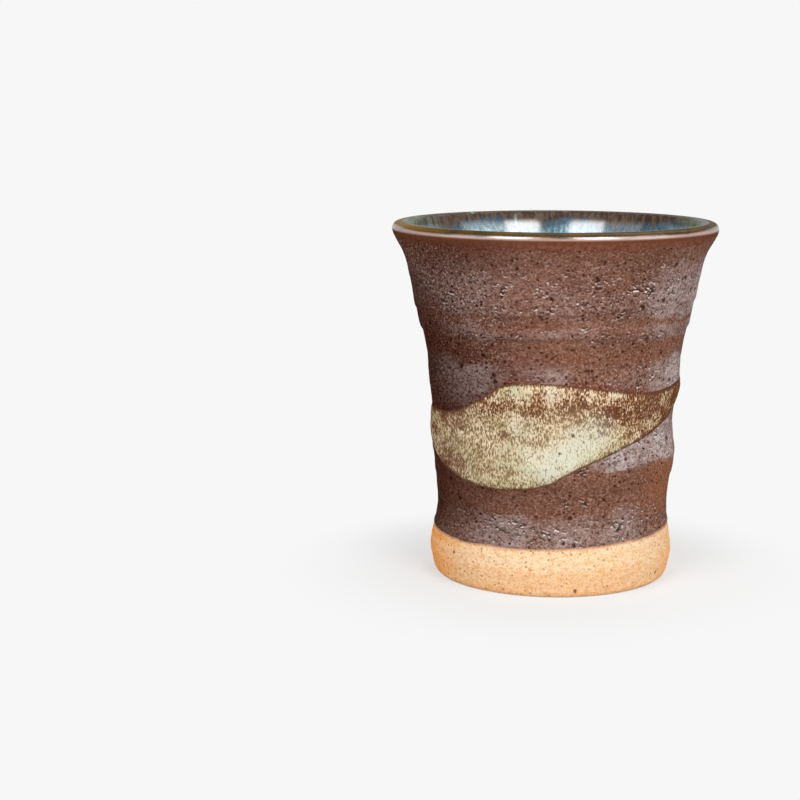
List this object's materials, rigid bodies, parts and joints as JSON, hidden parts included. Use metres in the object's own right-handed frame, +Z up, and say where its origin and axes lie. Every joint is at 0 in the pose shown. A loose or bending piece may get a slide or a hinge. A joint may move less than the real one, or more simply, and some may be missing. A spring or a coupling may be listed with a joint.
{
  "type": "japanese tea cup",
  "caption": "Tall handleless stoneware tea cup with a flared lip, brown outer glaze, a poured ash-glaze sweep, a pale glazed inside and a bare clay foot.",
  "frame": {"origin": "centre of the plane that the foot ring stands on", "axes": "+Z up along the cup's axis from foot to lip; -Y towards the front, where the poured ash glaze is fullest; +X to the right seen from the front"},
  "size_m": [0.0818, 0.0818, 0.09],
  "materials": {
    "bare_clay": "matte",
    "brown_glaze": "satin",
    "ash_glaze": "satin",
    "lip_glaze": "gloss",
    "rim_glaze": "gloss",
    "liner_glaze": "gloss"
  },
  "bodies": {
    "root": {"clay_body": "bare_clay", "brown_glaze": "brown_glaze", "ash_glaze": "ash_glaze", "lip_glaze": "lip_glaze", "rim_glaze": "rim_glaze", "liner_glaze": "liner_glaze"}
  },
  "joints": []
}
